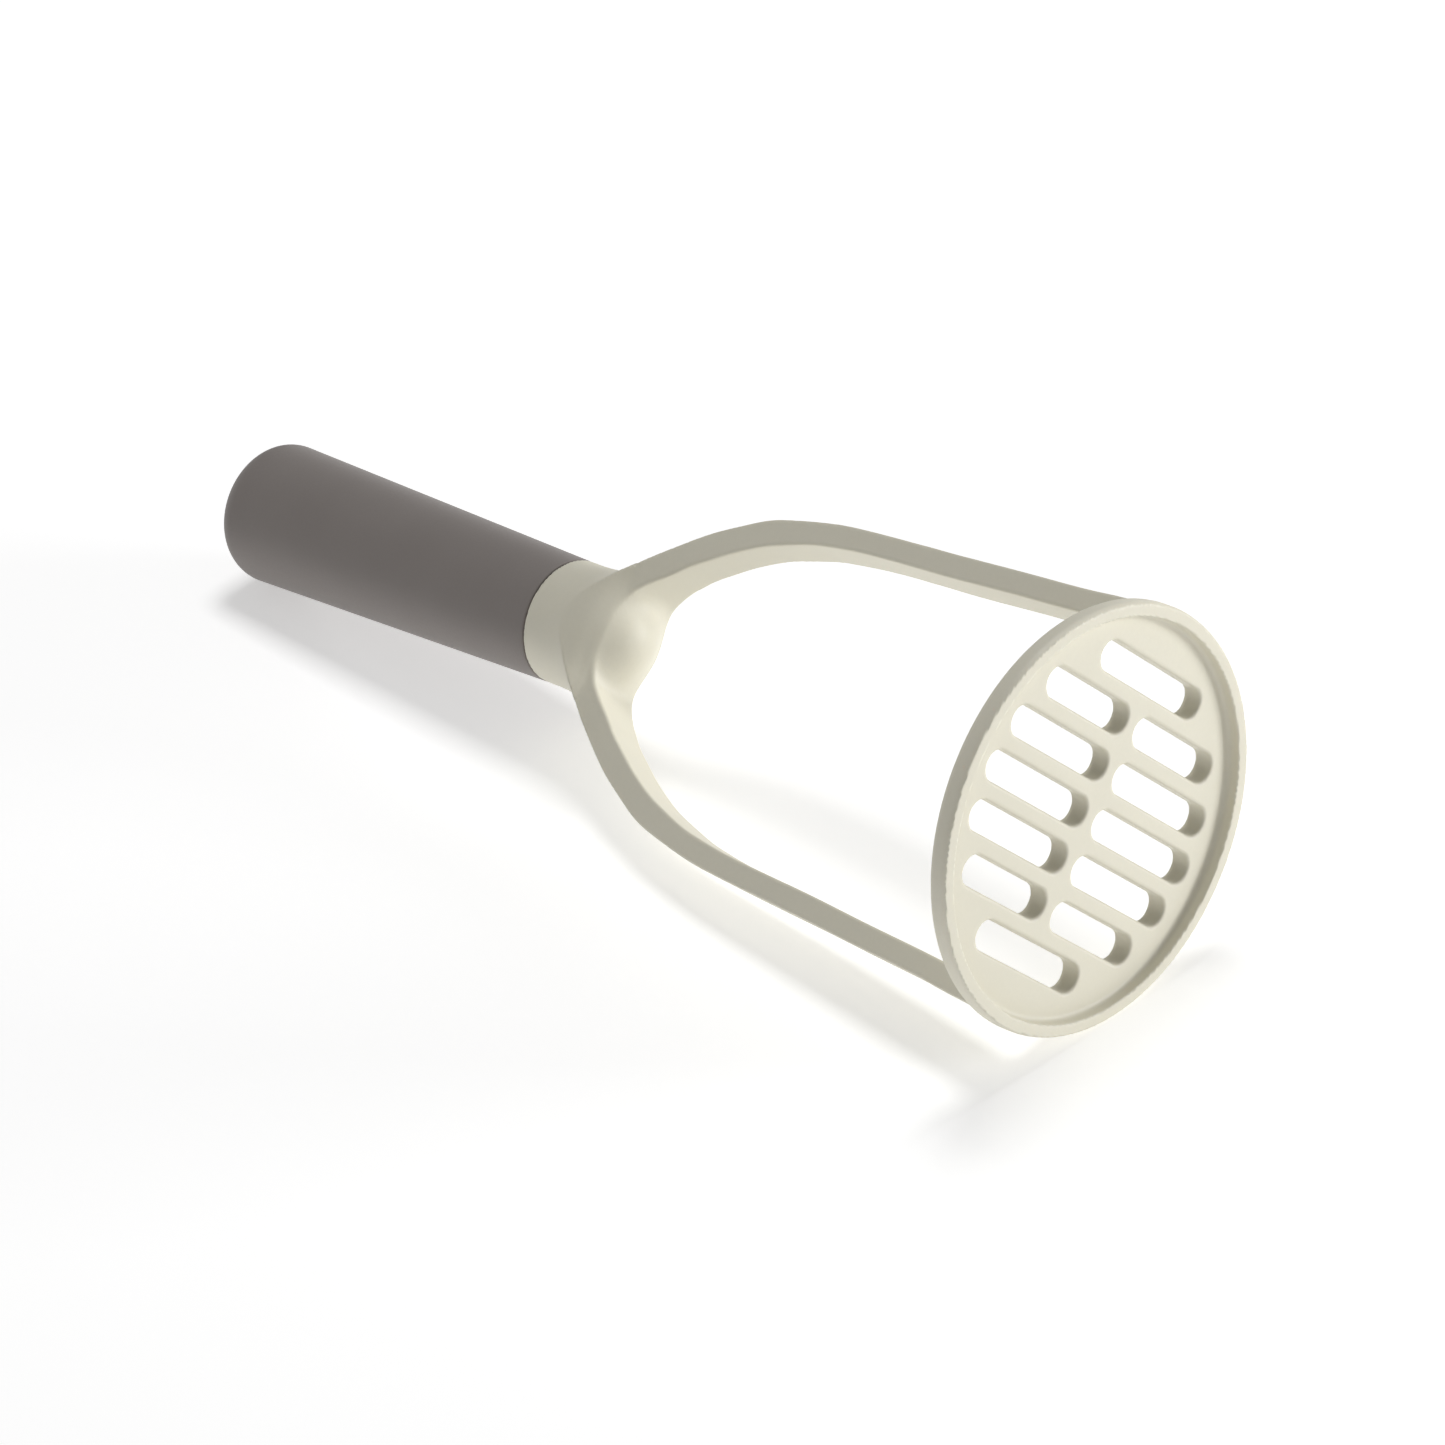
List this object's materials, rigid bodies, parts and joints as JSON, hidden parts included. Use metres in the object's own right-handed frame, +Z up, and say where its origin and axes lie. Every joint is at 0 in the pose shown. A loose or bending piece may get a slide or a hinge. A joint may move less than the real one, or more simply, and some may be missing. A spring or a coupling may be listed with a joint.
{
  "type": "potato masher",
  "caption": "Hand potato masher: a round slotted plate on a two-armed yoke, with a straight round handle that widens to a closed rounded end.",
  "frame": {"origin": "centre of the flat ring round the mashing face, on the surface that it presses on", "axes": "+Z up the handle from the mashing face; the two arms stand at +X and -X; the slots run along Y"},
  "size_m": [0.086, 0.086, 0.2417],
  "materials": {
    "nylon_head": "moulded glass-filled nylon, fine satin texture, warm off-white",
    "rigid_core": "moulded polypropylene, natural",
    "soft_grip": "soft-touch elastomer, matt, taupe grey"
  },
  "bodies": {
    "root": {"masher_head": "nylon_head", "handle_core": "rigid_core", "grip_sleeve": "soft_grip"}
  },
  "joints": []
}
